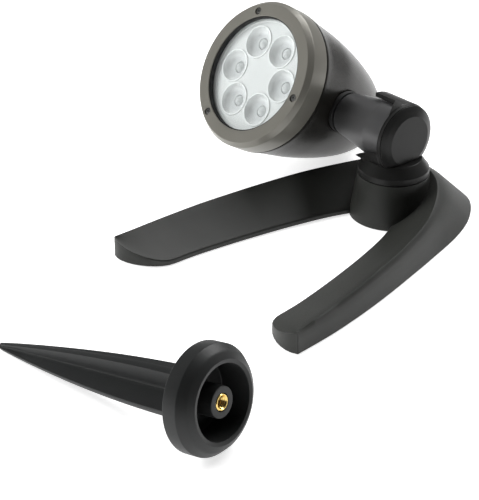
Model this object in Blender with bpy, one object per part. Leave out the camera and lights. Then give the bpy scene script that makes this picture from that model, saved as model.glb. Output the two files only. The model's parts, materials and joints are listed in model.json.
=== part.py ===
"""Side-mounted LED spotlight on a V-shaped stand, with its separate ground stake.

Lengths are in millimetres and are turned into metres as each mesh is made. +Z is up, z = 0 is the ground
and x = y = 0 is the swivel axis. The legs of the stand open towards -Y, and the lamp shines that way.
"""
import math

import bmesh
import bpy
from mathutils import Matrix, Vector

MM = 0.001
GAP = 0.3               # air left between two pieces that touch on the real object
FINE = 48               # sides of the large round parts
COARSE = 24             # sides of the small round parts

# Pose at rest
HEAD_TURN = math.radians(-4.5)
LAMP_TILT = math.radians(31.0)
HINGE_HEIGHT = 47.4
LAMP_OFFSET = -79.0     # lamp axis to swivel axis, along the hinge
LAMP_DROP = 1.0         # the lamp axis passes this far below the hinge

# Lamp, along its own axis: 0 is level with the hinge and +z is the way it shines
FACE = 40.3
SEAM = 26.1
WINDOW_RADIUS = 33.0
FACE_RADIUS = 40.0
BEZEL_RADIUS = 42.2
GLASS_RADIUS = 34.0
LIP_THICKNESS = 3.3
SPIGOT_INNER = 31.5
SPIGOT_OUTER = 38.2
WALL = 2.5
HOUSING_PROFILE = ((42.1, SEAM), (41.0, 20.3), (39.8, 10.3), (38.4, 0.3), (36.4, -9.7), (34.0, -19.7),
                   (31.0, -29.7), (27.3, -39.7), (22.6, -48.5), (16.0, -54.5), (9.0, -57.0))
SCREW_PITCH = 36.5
SCREW_ANGLES = (115.0, -5.0, -125.0)
LENS_PITCH = 20.0
LENS_ANGLES = (0.0, 60.0, 120.0, 180.0, 240.0, 300.0)
LENS_RADIUS = 9.0
LENS_TOP = 32.6
BOARD_TOP = 20.1
SINK_RADIUS = 30.3
SINK_TOP = 18.2

# Hinge, along its own axis: 0 is over the swivel axis and +x is the side away from the lamp
ARM_SMALL = (11.7, -36.8)
ARM_RADIUS = 16.5       # of the arm's wide end, inside the barrel
ARM_END = 5.4
BARREL_RADIUS = 19.4
BARREL_BORE = 16.9
BARREL_START = -16.3
PLATE_START = 5.8       # the barrel's closed end
PLATE_END = 7.6
PLATE_RADIUS = 18.9
BOSS_RADIUS = 13.8      # the boss that the arm is clamped against
BOSS_START = -0.8
CAP_FACE = 11.1
CAP_RADIUS = 18.7
CAP_FLAT = 16.2         # the cap's flat underside, measured down from the hinge
BOLT_RADIUS = 4.0

# Swivel and stand
POST_TOP_RADIUS = 19.7
POST_FOOT_RADIUS = 23.3
POST_HEIGHT = 25.4
COLLAR_FOOT = 26.6
COLLAR_TOP = 34.6
STAND_FOOT = 0.5
PAD_TOP = 1.4
INNER_EDGE_HEIGHT = 3.0
LEG_STATIONS = 14
OUTER_EDGE = ((67.4, -142.4), (66.0, -115.0), (62.4, -85.5), (57.2, -56.3), (51.1, -26.2), (43.4, 4.6),
              (33.5, 27.5), (19.0, 44.5), (0.0, 51.5))
RIDGE = ((66.0, -142.2, 12.0), (63.2, -113.0, 13.8), (58.4, -80.0, 15.6), (52.0, -50.0, 17.0),
         (44.0, -24.0, 18.6), (33.0, -3.0, 21.0), (21.5, 11.0, 23.6), (11.5, 17.0, 25.0), (0.0, 20.0, 25.3))
INNER_EDGE = ((58.0, -144.8), (44.0, -136.4), (38.4, -126.0), (35.6, -101.0), (31.6, -79.0), (26.0, -53.0),
              (19.0, -28.5), (10.0, -8.0), (0.0, 0.0))

# Ground stake, along its own axis: 0 is the point and +z is the mouth
STAKE_LENGTH = 138.0
STAKE_TIP = 1.6
STAKE_ROOT = 13.2
STAKE_STATIONS = 9
RIB_HALF_WIDTH = 1.9
RIM_RADIUS = 24.5
RIM_BACK = STAKE_LENGTH - 13.0
MOUTH_RADIUS = 16.8
CUP_FLOOR = STAKE_LENGTH - 15.5
BOSS_TOP = STAKE_LENGTH - 1.3
INSERT_RADIUS = 3.7
STAKE_POINT = (-31.5, -239.4)
STAKE_HEADING = math.radians(7.8)
STAKE_ROLL = math.radians(20.0)

PALETTE = {
    "pewter_paint": ((0.36, 0.35, 0.33), 0.38, 0.7),
    "bronze_paint": ((0.055, 0.052, 0.046), 0.34, 0.6),
    "charcoal_paint": ((0.045, 0.046, 0.045), 0.5, 0.3),
    "black_plastic": ((0.03, 0.031, 0.031), 0.5, 0.0),
    "rubber": ((0.012, 0.012, 0.012), 0.8, 0.0),
    "clear_glass": ((0.92, 0.95, 0.95), 0.04, 0.0),
    "lens_acrylic": ((0.93, 0.94, 0.93), 0.08, 0.0),
    "white_plastic": ((0.88, 0.88, 0.86), 0.45, 0.0),
    "steel": ((0.55, 0.55, 0.54), 0.3, 1.0),
    "brass": ((0.78, 0.57, 0.2), 0.25, 1.0),
    "aluminium": ((0.62, 0.63, 0.64), 0.35, 1.0),
    "circuit_board": ((0.02, 0.13, 0.06), 0.5, 0.0),
    "led_phosphor": ((0.9, 0.75, 0.15), 0.5, 0.0),
}


def clear_scene():
    for obj in list(bpy.data.objects):
        bpy.data.objects.remove(obj, do_unlink=True)


def make_material(name):
    colour, roughness, metallic = PALETTE[name]
    material = bpy.data.materials.new(name)
    material.use_nodes = True
    shader = material.node_tree.nodes["Principled BSDF"]
    shader.inputs["Base Color"].default_value = (*colour, 1.0)
    shader.inputs["Roughness"].default_value = roughness
    shader.inputs["Metallic"].default_value = metallic
    material.diffuse_color = (*colour, 1.0)
    return material


def make_frame(name, parent=None, location=(0, 0, 0), rotation=(0, 0, 0)):
    frame = bpy.data.objects.new(name, None)
    bpy.context.collection.objects.link(frame)
    frame.parent = parent
    frame.location = Vector(location) * MM
    frame.rotation_euler = rotation
    return frame


def make_part(name, bm, material, parent=None, location=(0, 0, 0), rotation=(0, 0, 0)):
    """Turns a millimetre bmesh into a named object of its parent frame."""
    bmesh.ops.scale(bm, vec=(MM, MM, MM), verts=bm.verts)
    bmesh.ops.recalc_face_normals(bm, faces=bm.faces)
    mesh = bpy.data.meshes.new(name)
    bm.to_mesh(mesh)
    bm.free()
    if material:
        mesh.materials.append(bpy.data.materials[material])
    part = bpy.data.objects.new(name, mesh)
    bpy.context.collection.objects.link(part)
    part.parent = parent
    part.location = Vector(location) * MM
    part.rotation_euler = rotation
    return part


def revolve(outline, sides=FINE):
    """Turns an outline of (radius, height) points about Z. Where it ends on the axis it stays open there."""
    bm = bmesh.new()
    verts = [bm.verts.new((radius, 0, height)) for radius, height in outline]
    edges = [bm.edges.new(pair) for pair in zip(verts, verts[1:])]
    if outline[0][0] > 0 or outline[-1][0] > 0:
        edges.append(bm.edges.new((verts[-1], verts[0])))
    bmesh.ops.spin(bm, geom=verts + edges, cent=(0, 0, 0), axis=(0, 0, 1), angle=math.tau, steps=sides,
                   use_merge=True)
    bmesh.ops.remove_doubles(bm, verts=bm.verts, dist=0.001)
    return bm


def ring(inner, outer, low, high, sides=FINE):
    return revolve(((inner, low), (outer, low), (outer, high), (inner, high)), sides)


def disc(radius, low, high, sides=COARSE):
    return revolve(((0, low), (radius, low), (radius, high), (0, high)), sides)


def block(size, centre=(0, 0, 0)):
    bm = bmesh.new()
    bmesh.ops.create_cube(bm, size=1.0, matrix=Matrix.Translation(centre) @ Matrix.Diagonal((*size, 1.0)))
    return bm


def extrude_outline(points, low, high):
    """A flat outline of (x, y) points, extruded from one height to another."""
    bm = bmesh.new()
    face = bm.faces.new([bm.verts.new((x, y, low)) for x, y in points])
    top = bmesh.ops.extrude_face_region(bm, geom=[face])["geom"]
    bmesh.ops.translate(bm, vec=(0, 0, high - low), verts=[v for v in top if isinstance(v, bmesh.types.BMVert)])
    return bm


def loft(sections, cap_start=True, cap_end=True):
    """Bridges closed sections that all have the same number of points."""
    bm = bmesh.new()
    rows = [[bm.verts.new(point) for point in section] for section in sections]
    count = len(rows[0])
    for low, high in zip(rows, rows[1:]):
        for i in range(count):
            bm.faces.new((low[i], low[(i + 1) % count], high[(i + 1) % count], high[i]))
    if cap_start:
        bm.faces.new(rows[0])
    if cap_end:
        bm.faces.new(rows[-1])
    return bm


def spline(points, t):
    """A smooth curve through the points, with t from 0 at the first to 1 at the last."""
    place = min(max(t, 0.0), 1.0) * (len(points) - 1)
    index = min(int(place), len(points) - 2)
    part = place - index
    near, far = Vector(points[index]), Vector(points[index + 1])
    before = Vector(points[index - 1]) if index > 0 else near * 2 - far
    after = Vector(points[index + 2]) if index + 2 < len(points) else far * 2 - near
    leave, arrive = (far - before) / 2, (after - near) / 2
    return (near * (1 + 2 * part) * (1 - part) ** 2 + leave * part * (1 - part) ** 2
            + far * part ** 2 * (3 - 2 * part) + arrive * part ** 2 * (part - 1))


def clipped_circle(radius, limit, points=40):
    """A circle without the part beyond x = limit."""
    start = math.acos(limit / radius)
    angles = [start + (math.tau - 2 * start) * i / points for i in range(points + 1)]
    return [(radius * math.cos(a), radius * math.sin(a)) for a in angles]


def combine(part, other, operation):
    """Adds a Boolean modifier, and hides the object that it uses."""
    modifier = part.modifiers.new(other.name, "BOOLEAN")
    modifier.operation = operation
    modifier.solver = "MANIFOLD"
    modifier.object = other
    other.hide_render = True
    other.display_type = "WIRE"


def polar(radius, degrees):
    angle = math.radians(degrees)
    return radius * math.cos(angle), radius * math.sin(angle)


# ---- Stand


def leg_section(t):
    """Five points across one leg: bottom outer edge, ridge, top and bottom of the inner edge."""
    outer = spline(OUTER_EDGE, t)
    ridge = spline(RIDGE, t)
    inner = spline(INNER_EDGE, t)
    crown = outer.lerp(ridge.xy, 0.75)
    return ((outer.x, outer.y, STAND_FOOT), (crown.x, crown.y, STAND_FOOT + (ridge.z - STAND_FOOT) * 0.86),
            tuple(ridge), (inner.x, inner.y, INNER_EDGE_HEIGHT), (inner.x, inner.y, STAND_FOOT))


def mirror_in_x(part):
    modifier = part.modifiers.new("other_leg", "MIRROR")
    modifier.merge_threshold = 0.00001


def stand_legs(name, material):
    sections = [leg_section(i / LEG_STATIONS) for i in range(LEG_STATIONS + 1)]
    legs = make_part(name, loft(sections, cap_end=False), material)
    mirror_in_x(legs)
    return legs


def pad_outline_points(t, inset):
    outer = spline(OUTER_EDGE, t)
    inner = spline(INNER_EDGE, t)
    across = (inner - outer).normalized() * inset
    return outer + across, inner - across


def base_pad(name, material, inset, low, high, last=0.85):
    """The sheet under the stand: both legs' outline, a little smaller."""
    stations = [0.05 + (last - 0.05) * i / 8 for i in range(9)]
    pairs = [pad_outline_points(t, inset) for t in stations]
    rear = [pad_outline_points(t, inset)[0] for t in (0.89, 0.94)]
    outer = [pair[0] for pair in pairs] + rear
    inner = [pair[1] for pair in pairs]
    right = [tuple(p) for p in reversed(inner)] + [tuple(p) for p in outer]
    left = [(-x, y) for x, y in reversed(right)]
    back = [(0.0, OUTER_EDGE[-1][1] - inset)]
    return make_part(name, extrude_outline(right + back + left, low, high), material)


def build_stand():
    stand = stand_legs("base_stand", "charcoal_paint")
    post = make_part("cut_post", revolve(((0, STAND_FOOT), (POST_FOOT_RADIUS, STAND_FOOT),
                                          (POST_TOP_RADIUS, POST_HEIGHT), (0, POST_HEIGHT))), None)
    combine(stand, post, "UNION")
    bore = make_part("cut_post_bore", revolve(((0, -1), (10.0, -1), (10.0, 12.0), (4.4, 12.0), (4.4, 27.0),
                                               (0, 27.0)), COARSE), None)
    combine(stand, bore, "DIFFERENCE")
    combine(stand, base_pad("cut_pad_recess", None, 2.5, -1.0, PAD_TOP + GAP), "DIFFERENCE")
    base_pad("base_pad", "rubber", 2.8, 0.0, PAD_TOP)


def build_swivel_fasteners():
    bolt = revolve(((0, 3.0), (6.5, 3.0), (6.5, 8.6), (BOLT_RADIUS, 8.6), (BOLT_RADIUS, 29.3), (0, 29.3)), COARSE)
    make_part("swivel_bolt", bolt, "steel")
    make_part("swivel_spring_washer", ring(4.3, 7.4, 8.9, 10.2, COARSE), "steel")
    make_part("swivel_washer", ring(4.3, 9.0, 10.5, 11.7, COARSE), "steel")
    make_part("swivel_friction_ring", ring(9.5, 19.0, POST_HEIGHT + GAP, COLLAR_FOOT - GAP), "rubber")


# ---- Yoke and hinge


def cut_yoke_window(yoke, pan):
    """The opening in front of the arm: its right edge slants back to the top, its lower edge to the left."""
    left, right = BARREL_START - 1, PLATE_START - 0.3
    plan = ((left, 4.4), (-4.7, 4.4), (right, -11.0), (right, -25.0), (left, -25.0))
    upper = make_part("cut_window_upper", extrude_outline(plan, 43.7, 75.0), None, pan)
    combine(yoke, upper, "DIFFERENCE")
    front = ((left, 44.1), (left, 33.0), (-5.0, 40.0), (right, 43.4), (right, 44.1))
    lower = make_part("cut_window_lower", extrude_outline(front, 9.0, 25.0), None, pan, rotation=(math.pi / 2, 0, 0))
    combine(yoke, lower, "DIFFERENCE")


def build_yoke(pan, hinge):
    collar = revolve(((0, COLLAR_FOOT), (POST_TOP_RADIUS, COLLAR_FOOT), (19.5, 29.0), (15.2, COLLAR_TOP),
                      (0, COLLAR_TOP)))
    yoke = make_part("swivel_yoke", collar, "charcoal_paint", pan)
    barrel = revolve(((0, BARREL_START), (BARREL_RADIUS, BARREL_START), (BARREL_RADIUS, 5.2),
                      (PLATE_RADIUS, PLATE_START), (PLATE_RADIUS, PLATE_END), (0, PLATE_END)))
    combine(yoke, make_part("cut_barrel", barrel, None, hinge), "UNION")
    bore = disc(BARREL_BORE, BARREL_START - 8, PLATE_START, FINE)
    combine(yoke, make_part("cut_barrel_bore", bore, None, hinge), "DIFFERENCE")
    cut_yoke_window(yoke, pan)
    boss = disc(BOSS_RADIUS, BOSS_START, PLATE_END - 0.4, FINE)
    combine(yoke, make_part("cut_hinge_boss", boss, None, hinge), "UNION")
    hole = revolve(((0, BOSS_START - 1), (4.4, BOSS_START - 1), (4.4, 2.0), (9.2, 2.0), (9.2, PLATE_END + 1),
                    (0, PLATE_END + 1)))
    combine(yoke, make_part("cut_hinge_hole", hole, None, hinge), "DIFFERENCE")
    seat = extrude_outline(clipped_circle(CAP_RADIUS + 0.6, CAP_FLAT), PLATE_END, CAP_FACE + 0.4)
    combine(yoke, make_part("cut_cap_seat", seat, None, hinge), "DIFFERENCE")
    pocket = disc(7.3, COLLAR_FOOT - 1, 29.6)
    combine(yoke, make_part("cut_nut_pocket", pocket, None, pan), "DIFFERENCE")
    make_part("swivel_nut", ring(4.3, 7.0, COLLAR_FOOT + 0.2, 29.3, COARSE), "brass", pan)


def build_hinge_cap(hinge):
    start = PLATE_END + GAP
    shell = ((7.2, start - 2.8), (8.9, start - 2.8), (8.9, start), (CAP_RADIUS, start), (CAP_RADIUS, 8.2),
             (17.0, 9.4), (13.6, CAP_FACE), (0, CAP_FACE), (0, start), (7.2, start))
    cap = make_part("hinge_cap", revolve(shell), "charcoal_paint", hinge)
    flat = block((20.0, 50.0, 30.0), (CAP_FLAT - GAP + 10.0, 0, 10.0))
    combine(cap, make_part("cut_cap_flat", flat, None, hinge), "DIFFERENCE")
    make_part("tilt_washer", ring(4.3, 8.5, 2.3, 3.5, COARSE), "steel", hinge)
    bolt = revolve(((0, 7.6), (6.4, 7.6), (6.4, 3.8), (BOLT_RADIUS, 3.8), (BOLT_RADIUS, -12.8), (0, -12.8)), COARSE)
    make_part("tilt_bolt", bolt, "steel", hinge)


def build_arm(tilt_hinge):
    floor = BOSS_START - 1.1
    outline = ((4.9, -47.4), (7.0, -47.4), (7.0, -37.4), (10.9, -37.4), ARM_SMALL, (ARM_RADIUS, -8.5),
               (ARM_RADIUS, ARM_END - 1.2), (ARM_RADIUS - 1.0, ARM_END), (BOSS_RADIUS + 0.4, ARM_END),
               (BOSS_RADIUS + 0.4, floor), (6.8, floor), (6.8, floor - 11.5), (4.9, floor - 11.5))
    make_part("tilt_arm", revolve(outline), "charcoal_paint", tilt_hinge)
    make_part("tilt_friction_disc", ring(7.4, 13.4, floor + GAP, BOSS_START - GAP), "rubber", tilt_hinge)
    make_part("tilt_insert", ring(4.3, 6.5, floor - 11.2, floor, COARSE), "brass", tilt_hinge)
    make_part("arm_gasket", ring(7.3, 12.0, -40.6, -37.7), "rubber", tilt_hinge)
    make_part("arm_lock_nut", ring(7.3, 9.4, -47.3, -44.9, COARSE), "steel", tilt_hinge)


# ---- Lamp


def build_housing(lamp):
    inside = tuple((radius - WALL, height) for radius, height in reversed(HOUSING_PROFILE[1:-1]))
    rear = HOUSING_PROFILE[-1][1]
    outline = ((0, rear),) + tuple(reversed(HOUSING_PROFILE)) + (
        (SPIGOT_OUTER, SEAM), (SPIGOT_OUTER, 33.0), (SPIGOT_INNER, 33.0), (SPIGOT_INNER, 21.0),
        (38.6, 19.0)) + tuple(reversed(inside[:-1])) + ((0, rear + 4.5),)
    housing = make_part("housing", revolve(outline), "bronze_paint", lamp)
    level = (0, LAMP_DROP, 0)
    side = (0, math.pi / 2, 0)
    boss = make_part("cut_side_boss", disc(12.4, 34.7, 38.1, FINE), None, lamp, level, side)
    combine(housing, boss, "UNION")
    through = revolve(((0, 28.0), (10.2, 28.0), (10.2, 34.4), (7.4, 34.4), (7.4, 38.1), (12.8, 38.1),
                       (12.8, 46.0), (0, 46.0)))
    combine(housing, make_part("cut_side_hole", through, None, lamp, level, side), "DIFFERENCE")
    outlet = make_part("cut_gland_hole", disc(5.3, rear - 2, rear + 8), None, lamp)
    combine(housing, outlet, "DIFFERENCE")
    for index, degrees in enumerate(SCREW_ANGLES):
        thread = make_part(f"cut_housing_thread_{index}", disc(1.5, 24.0, 35.0, 12), None, lamp,
                           (*polar(SCREW_PITCH, degrees), 0))
        combine(housing, thread, "DIFFERENCE")


def build_bezel(lamp):
    lip = FACE - LIP_THICKNESS
    outline = ((WINDOW_RADIUS, FACE), (FACE_RADIUS, FACE), (41.5, FACE - 1.0), (BEZEL_RADIUS, FACE - 3.0),
               (BEZEL_RADIUS, SEAM + GAP), (SPIGOT_OUTER + 0.4, SEAM + GAP), (SPIGOT_OUTER + 0.4, 33.4),
               (GLASS_RADIUS + 0.3, 33.4), (GLASS_RADIUS + 0.3, lip), (WINDOW_RADIUS, lip))
    bezel = make_part("bezel_ring", revolve(outline), "pewter_paint", lamp)
    for index, degrees in enumerate(SCREW_ANGLES):
        place = (*polar(SCREW_PITCH, degrees), 0)
        well = revolve(((0, 32.0), (1.5, 32.0), (1.5, FACE - 3.6), (2.1, FACE - 3.6), (2.1, FACE + 1),
                        (0, FACE + 1)), 16)
        combine(bezel, make_part(f"cut_bezel_well_{index}", well, None, lamp, place), "DIFFERENCE")
        screw = revolve(((0, 26.0), (1.2, 26.0), (1.2, FACE - 3.3), (1.8, FACE - 3.3), (1.8, FACE - 1.4),
                         (0, FACE - 1.4)), 12)
        make_part(f"bezel_screw_{index + 1}", screw, "steel", lamp, place)


def build_optics(lamp):
    make_part("front_glass", disc(GLASS_RADIUS, 33.8, 36.7, FINE), "clear_glass", lamp)
    make_part("glass_gasket", ring(31.9, 33.9, 33.1, 33.6), "rubber", lamp)
    make_part("bezel_o_ring", ring(38.7, 41.4, SEAM + 0.05, SEAM + 0.25), "rubber", lamp)
    plate = make_part("optic_plate", disc(31.2, 30.4, 32.8, FINE), "white_plastic", lamp)
    for index, degrees in enumerate(LENS_ANGLES):
        place = (*polar(LENS_PITCH, degrees), 0)
        hole = disc(LENS_RADIUS + GAP, 29.0, 34.0, COARSE)
        combine(plate, make_part(f"cut_lens_hole_{index}", hole, None, lamp, place), "DIFFERENCE")
        lens = revolve(((0, LENS_TOP), (LENS_RADIUS, LENS_TOP), (LENS_RADIUS, LENS_TOP - 1.5), (4.2, 22.0),
                        (0, 22.0)), COARSE)
        make_part(f"optic_lens_{index + 1}", lens, "lens_acrylic", lamp, place)
        chip = block((3.6, 3.6, 1.2), (0, 0, BOARD_TOP + 0.9))
        make_part(f"led_chip_{index + 1}", chip, "led_phosphor", lamp, place)


def build_electronics(lamp):
    make_part("led_board", disc(30.0, BOARD_TOP - 1.6, BOARD_TOP, FINE), "circuit_board", lamp)
    plate = disc(SINK_RADIUS, SINK_TOP - 4.0, SINK_TOP, FINE)
    sink = make_part("heat_sink", plate, "aluminium", lamp)
    for index in range(5):
        offset = (index - 2) * 9.0
        reach = 2 * math.sqrt(SINK_RADIUS ** 2 - (abs(offset) + 1.5) ** 2) - 4.0
        fin = block((2.2, reach, 12.0), (offset, 0, SINK_TOP - 9.5))
        combine(sink, make_part(f"cut_fin_{index}", fin, None, lamp), "UNION")
    make_part("driver_board", block((40.0, 34.0, 1.6), (0, 0, -6.0)), "circuit_board", lamp)
    make_part("driver_transformer", block((15.0, 14.0, 12.0), (-8.0, 6.0, -13.1)), "black_plastic", lamp)
    make_part("driver_capacitor", disc(5.0, -23.0, -7.1), "black_plastic", lamp, (10.0, 6.0, 0))
    make_part("driver_choke", disc(5.5, -14.5, -7.1), "steel", lamp, (6.0, -8.5, 0))
    for index, side in enumerate((-1, 1)):
        post = disc(2.4, -4.9, 1.9, 12)
        make_part(f"driver_post_{index + 1}", post, "brass", lamp, (4.5 * side, 14.0 * side, 0))


def build_gland(lamp):
    rear = HOUSING_PROFILE[-1][1]
    outline = ((3.2, rear - 8.0), (6.0, rear - 8.0), (6.6, rear - 7.0), (7.6, rear - 3.5), (7.6, rear - GAP),
               (5.0, rear - GAP), (5.0, rear + 8.5), (3.2, rear + 8.5))
    make_part("cable_gland", revolve(outline, COARSE), "black_plastic", lamp)
    make_part("gland_nut", ring(5.3, 8.0, rear + 4.9, rear + 7.9, COARSE), "black_plastic", lamp)


# ---- Ground stake


def stake_section(height, top):
    """A cross of four ribs, which narrows to the point along a slightly bowed line."""
    fraction = height / top
    reach = STAKE_TIP + (STAKE_ROOT - STAKE_TIP) * math.sin(fraction * math.pi / 2) ** 0.9
    width = min(RIB_HALF_WIDTH * (0.45 + 0.55 * fraction), reach * 0.7)
    core = width * 1.35
    points = []
    for quarter in range(4):
        turn = Matrix.Rotation(quarter * math.pi / 2, 3, "Z")
        for x, y in ((reach, -width), (reach, width), (core, core)):
            points.append(tuple(turn @ Vector((x, y, height))))
    return points


def build_stake(frame):
    top = CUP_FLOOR - 2.5
    sections = [stake_section(top * (i / STAKE_STATIONS), top) for i in range(STAKE_STATIONS + 1)]
    stake = make_part("ground_stake", loft(sections), "black_plastic", frame)
    flange = ((0, CUP_FLOOR - 4.0), (14.5, CUP_FLOOR - 4.0), (18.5, RIM_BACK - 1.0), (23.2, RIM_BACK - 0.6),
              (RIM_RADIUS, RIM_BACK + 0.4), (RIM_RADIUS, STAKE_LENGTH - 5.6), (23.4, STAKE_LENGTH - 4.4),
              (21.0, STAKE_LENGTH - 1.5), (18.6, STAKE_LENGTH), (MOUTH_RADIUS, STAKE_LENGTH - 0.5),
              (16.6, CUP_FLOOR), (7.2, CUP_FLOOR), (7.0, BOSS_TOP), (INSERT_RADIUS + GAP, BOSS_TOP),
              (INSERT_RADIUS + GAP, CUP_FLOOR), (0, CUP_FLOOR))
    combine(stake, make_part("cut_flange", revolve(flange), None, frame), "UNION")
    make_part("stake_insert", ring(2.5, INSERT_RADIUS, CUP_FLOOR + GAP, BOSS_TOP + 0.2, COARSE), "brass", frame)


def stake_frame():
    """Lays the stake down on the edge of its flange and on its point."""
    reach = math.hypot(RIM_RADIUS, RIM_BACK - STAKE_TIP)
    slope = math.atan2(RIM_RADIUS, RIM_BACK - STAKE_TIP) - math.asin(STAKE_TIP / reach)
    heading = make_frame("stake_heading", None, (*STAKE_POINT, STAKE_TIP + GAP), (0, 0, STAKE_HEADING))
    slant = make_frame("stake_slant", heading, (0, 0, 0), (0, math.pi / 2 - slope, 0))
    return make_frame("stake_axis", slant, (0, 0, -STAKE_TIP), (0, 0, STAKE_ROLL))


def main():
    clear_scene()
    for name in PALETTE:
        make_material(name)
    pan = make_frame("pan_axis", None, (0, 0, 0), (0, 0, HEAD_TURN))
    hinge = make_frame("hinge_axis", pan, (0, 0, HINGE_HEIGHT), (0, math.pi / 2, 0))
    tilt = make_frame("tilt_axis", pan, (0, 0, HINGE_HEIGHT))
    tilt_hinge = make_frame("tilt_hinge_axis", tilt, (0, 0, 0), (0, math.pi / 2, 0))
    lamp_place = (LAMP_OFFSET, -LAMP_DROP * math.sin(LAMP_TILT), -LAMP_DROP * math.cos(LAMP_TILT))
    lamp = make_frame("lamp_axis", tilt, lamp_place, (math.pi / 2 - LAMP_TILT, 0, 0))
    build_stand()
    build_swivel_fasteners()
    build_yoke(pan, hinge)
    build_hinge_cap(hinge)
    build_arm(tilt_hinge)
    build_housing(lamp)
    build_bezel(lamp)
    build_optics(lamp)
    build_electronics(lamp)
    build_gland(lamp)
    build_stake(stake_frame())


main()
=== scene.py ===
"""The looks of the side-mounted spotlight, its V-shaped stand and the loose ground stake.

Shapes are drawn in millimetres, each in the frame of its own axis, and turned into metres as a piece is made.
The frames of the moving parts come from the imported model's joints and from the boxes of its turned parts.
"""
import json
import math

import bmesh
import bpy
from mathutils import Matrix, Vector


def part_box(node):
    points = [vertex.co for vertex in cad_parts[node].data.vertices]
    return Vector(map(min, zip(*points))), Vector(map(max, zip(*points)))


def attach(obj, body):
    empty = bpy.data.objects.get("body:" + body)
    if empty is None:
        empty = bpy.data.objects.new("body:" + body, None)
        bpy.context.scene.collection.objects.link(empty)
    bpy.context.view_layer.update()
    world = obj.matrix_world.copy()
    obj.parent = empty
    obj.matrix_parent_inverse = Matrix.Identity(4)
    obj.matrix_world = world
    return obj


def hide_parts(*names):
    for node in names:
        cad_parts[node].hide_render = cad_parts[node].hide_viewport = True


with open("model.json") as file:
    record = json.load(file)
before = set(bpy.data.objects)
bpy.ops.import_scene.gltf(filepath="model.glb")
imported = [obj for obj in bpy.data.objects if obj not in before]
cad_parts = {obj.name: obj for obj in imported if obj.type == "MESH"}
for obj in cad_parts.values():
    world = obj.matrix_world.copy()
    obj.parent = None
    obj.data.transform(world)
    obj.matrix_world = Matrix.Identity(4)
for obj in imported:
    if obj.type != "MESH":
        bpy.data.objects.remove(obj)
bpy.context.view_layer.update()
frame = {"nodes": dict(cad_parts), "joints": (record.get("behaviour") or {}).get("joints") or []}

MM = 0.001
METAL_SIDES = 128
SMALL_SIDES = 48
SHARP = math.radians(28.0)

# Lamp, along its own axis: 0 is where it passes nearest the hinge's axis and +z is the way it shines
FACE = 40.3
SEAM = 26.1
WINDOW_RADIUS = 33.0
FACE_RADIUS = 40.0
BEZEL_RADIUS = 42.2
LIP_THICKNESS = 3.3
GLASS_MIDDLE = 35.25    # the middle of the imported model's glass, which places the lamp's frame
HOUSING_SKIN = ((42.1, SEAM - 0.9), (41.0, 19.6), (39.7, 10.3), (38.3, 0.3), (36.3, -9.7), (33.9, -19.7),
                (30.9, -29.7), (27.1, -39.7), (22.4, -48.3), (15.8, -54.3), (9.0, -57.0))
WALL = 2.5
SCREW_PITCH = 36.5
SCREW_ANGLES = (115.0, -5.0, -125.0)
LENS_PITCH = 20.0
LENS_ANGLES = (0.0, 60.0, 120.0, 180.0, 240.0, 300.0)
LENS_RADIUS = 9.7
LENS_TOP = 36.0
TRAY_BASE = 33.1
TRAY_RADIUS = 33.8
PANE_FRONT = 36.8
SIDE_BOSS = 12.4        # radius of the boss on the housing's side
SIDE_BORE = 12.8
CABLE_BORE = 3.2

# Hinge, along its own axis: 0 is over the swivel axis, +z points away from the lamp and +x points down
ARM_RADIUS = 16.5
ARM_END = 5.4
BARREL_RADIUS = 19.4
BARREL_BORE = 16.9
BARREL_START = -16.3
PLATE_START = 5.8
PLATE_END = 7.6
PLATE_RADIUS = 18.9
BOSS_RADIUS = 13.8
BOSS_START = -0.8
CAP_FACE = 11.1
CAP_RADIUS = 18.7
CAP_FLAT = 12.8        # where the cap stands on the collar

# Swivel and stand
POST_TOP_RADIUS = 19.7
POST_FOOT_RADIUS = 23.3
POST_HEIGHT = 25.4
COLLAR_FOOT = 26.6
COLLAR_LIP = 25.8       # the foot of the collar's outer lip
COLLAR_TOP = 34.6
STAND_FOOT = 0.5
LEG_STEPS = 10          # steps in each span of the leg's outline
OUTER_EDGE = ((67.4, -142.4), (66.9, -128.0), (65.9, -113.0), (63.4, -92.0), (60.0, -71.0), (56.0, -50.5),
              (50.4, -24.0), (43.4, 4.6), (34.0, 26.5), (19.5, 44.0), (0.0, 51.5))
RIDGE = ((66.4, -142.2, 12.0), (64.8, -127.0, 13.0), (63.2, -112.5, 13.8), (60.2, -91.0, 15.0),
         (56.4, -71.0, 16.0), (51.8, -49.5, 17.0), (44.5, -25.0, 18.6), (34.5, -5.0, 20.8), (23.5, 9.5, 23.4),
         (12.5, 16.8, 25.0), (0.0, 20.0, 25.3))
INNER_EDGE = ((67.0, -142.6), (38.4, -126.0), (37.2, -112.0), (34.4, -94.0), (30.6, -74.0), (25.8, -52.5),
              (19.2, -29.0), (11.0, -10.0), (6.0, -4.0), (3.0, -1.0), (0.0, 0.0))
TIP_HANDLES = ((57.4, -148.0), (39.0, -137.0))
INNER_HEIGHT = 3.0

# Ground stake, along its own axis: 0 is the point and +z is the mouth
STAKE_LENGTH = 138.0
STAKE_TIP = 1.6
STAKE_ROOT = 13.2
RIB_HALF_WIDTH = 1.9
RIM_RADIUS = 24.5
RIM_BACK = STAKE_LENGTH - 13.0
MOUTH_RADIUS = 16.8
CUP_FLOOR = STAKE_LENGTH - 15.5
BOSS_TOP = STAKE_LENGTH - 1.3
STAKE_POINT = (-31.5, -239.4)
STAKE_HEADING = math.radians(7.8)
STAKE_ROLL = math.radians(20.0)
STAKE_LIFT = 0.3

# Camera: where it stands from the swivel's foot, in metres, and the way back along its view
CAMERA_DISTANCE = 0.8411
CAMERA_PLACE = (math.radians(39.96), math.radians(26.87))
CAMERA_LOOK = (math.radians(46.39), math.radians(28.43))
CAMERA_LENS = 108.6

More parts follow.
